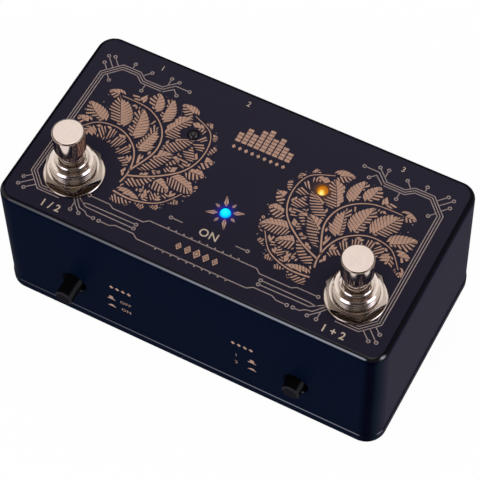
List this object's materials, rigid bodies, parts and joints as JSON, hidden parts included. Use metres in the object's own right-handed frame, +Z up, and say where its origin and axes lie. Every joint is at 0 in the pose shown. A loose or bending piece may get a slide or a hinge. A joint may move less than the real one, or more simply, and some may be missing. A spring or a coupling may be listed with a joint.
{
  "type": "ab switch pedal",
  "caption": "Two-footswitch signal switching pedal in a deep die-cast box, with plug sockets on the back, latching push buttons in front and status lamps on top.",
  "frame": {"origin": "middle of the underside, on the surface the pedal stands on", "axes": "+X to the right along the long side, +Y towards the sockets on the back, +Z up"},
  "size_m": [0.1124, 0.0691, 0.061],
  "materials": {
    "enclosure_paint": "fine satin powder coat, very dark navy blue",
    "bright_nickel": "polished nickel plate",
    "satin_nickel": "nickel plate with a finely turned face",
    "jack_nickel": "nickel plate",
    "screw_steel": "blackened steel",
    "frame_steel": "zinc plated sheet",
    "spring_steel": "drawn wire",
    "contact_tin": "tinned brass",
    "switch_housing": "moulded, blue",
    "black_plastic": "moulded, black",
    "button_black": "moulded, black, half gloss",
    "stem_white": "moulded, white",
    "board_green": "solder resist on glass laminate",
    "relay_white": "moulded, white",
    "chip_black": "moulded, black",
    "capacitor_sleeve": "shrink sleeve, dark blue",
    "spacer_white": "moulded nylon, natural",
    "lamp_blue": "clear epoxy, lit blue",
    "lamp_amber": "clear epoxy, lit amber",
    "lamp_clear": "clear epoxy, unlit"
  },
  "bodies": {
    "pedal": {"enclosure_shell": "enclosure_paint", "base_plate": "enclosure_paint", "base_screws": "screw_steel", "footswitch_left_bushing": "bright_nickel", "footswitch_left_frame": "frame_steel", "footswitch_left_housing": "switch_housing", "footswitch_left_spring": "spring_steel", "footswitch_left_terminals": "contact_tin", "push_switch_left_body": "black_plastic", "push_switch_left_spring": "spring_steel", "push_switch_left_pins": "contact_tin", "footswitch_right_bushing": "bright_nickel", "footswitch_right_frame": "frame_steel", "footswitch_right_housing": "switch_housing", "footswitch_right_spring": "spring_steel", "footswitch_right_terminals": "contact_tin", "push_switch_right_body": "black_plastic", "push_switch_right_spring": "spring_steel", "push_switch_right_pins": "contact_tin", "footswitch_washers": "bright_nickel", "footswitch_nuts": "bright_nickel", "footswitch_inner_nuts": "bright_nickel", "footswitch_lock_washers": "frame_steel", "jack_left_sleeve": "jack_nickel", "jack_left_housing": "black_plastic", "jack_left_contacts": "contact_tin", "jack_middle_sleeve": "jack_nickel", "jack_middle_housing": "black_plastic", "jack_middle_contacts": "contact_tin", "jack_right_sleeve": "jack_nickel", "jack_right_housing": "black_plastic", "jack_right_contacts": "contact_tin", "jack_washers": "jack_nickel", "jack_nuts": "jack_nickel", "power_inlet_housing": "black_plastic", "power_inlet_pin": "contact_tin", "power_inlet_lugs": "contact_tin", "power_inlet_nut": "black_plastic", "lamp_left": "lamp_clear", "lamp_middle": "lamp_blue", "lamp_right": "lamp_amber", "lamp_leads": "contact_tin", "lamp_spacers": "spacer_white", "main_board": "board_green", "board_relays": "relay_white", "board_chips": "chip_black", "board_capacitors": "capacitor_sleeve"},
    "footswitch_left_button": {"footswitch_left_plunger": "satin_nickel"},
    "footswitch_right_button": {"footswitch_right_plunger": "satin_nickel"},
    "push_button_left": {"push_switch_left_stem": "stem_white", "push_switch_left_cap": "button_black"},
    "push_button_right": {"push_switch_right_stem": "stem_white", "push_switch_right_cap": "button_black"}
  },
  "joints": [
    {"name": "footswitch_left_press", "type": "slide", "parent": "pedal", "child": "footswitch_left_button", "axis": [0, 0, -1], "range_m": [0, 0.0038], "stiffness_N_per_m": 2500, "springref_m": -0.001, "deforming": ["footswitch_left_spring"]},
    {"name": "footswitch_right_press", "type": "slide", "parent": "pedal", "child": "footswitch_right_button", "axis": [0, 0, -1], "range_m": [0, 0.0038], "stiffness_N_per_m": 2500, "springref_m": -0.001, "deforming": ["footswitch_right_spring"]},
    {"name": "push_button_left_press", "type": "slide", "parent": "pedal", "child": "push_button_left", "axis": [0, 1, 0], "range_m": [0, 0.003], "stiffness_N_per_m": 600, "springref_m": -0.0005},
    {"name": "push_button_right_press", "type": "slide", "parent": "pedal", "child": "push_button_right", "axis": [0, 1, 0], "range_m": [-0.0026, 0.0004]}
  ]
}
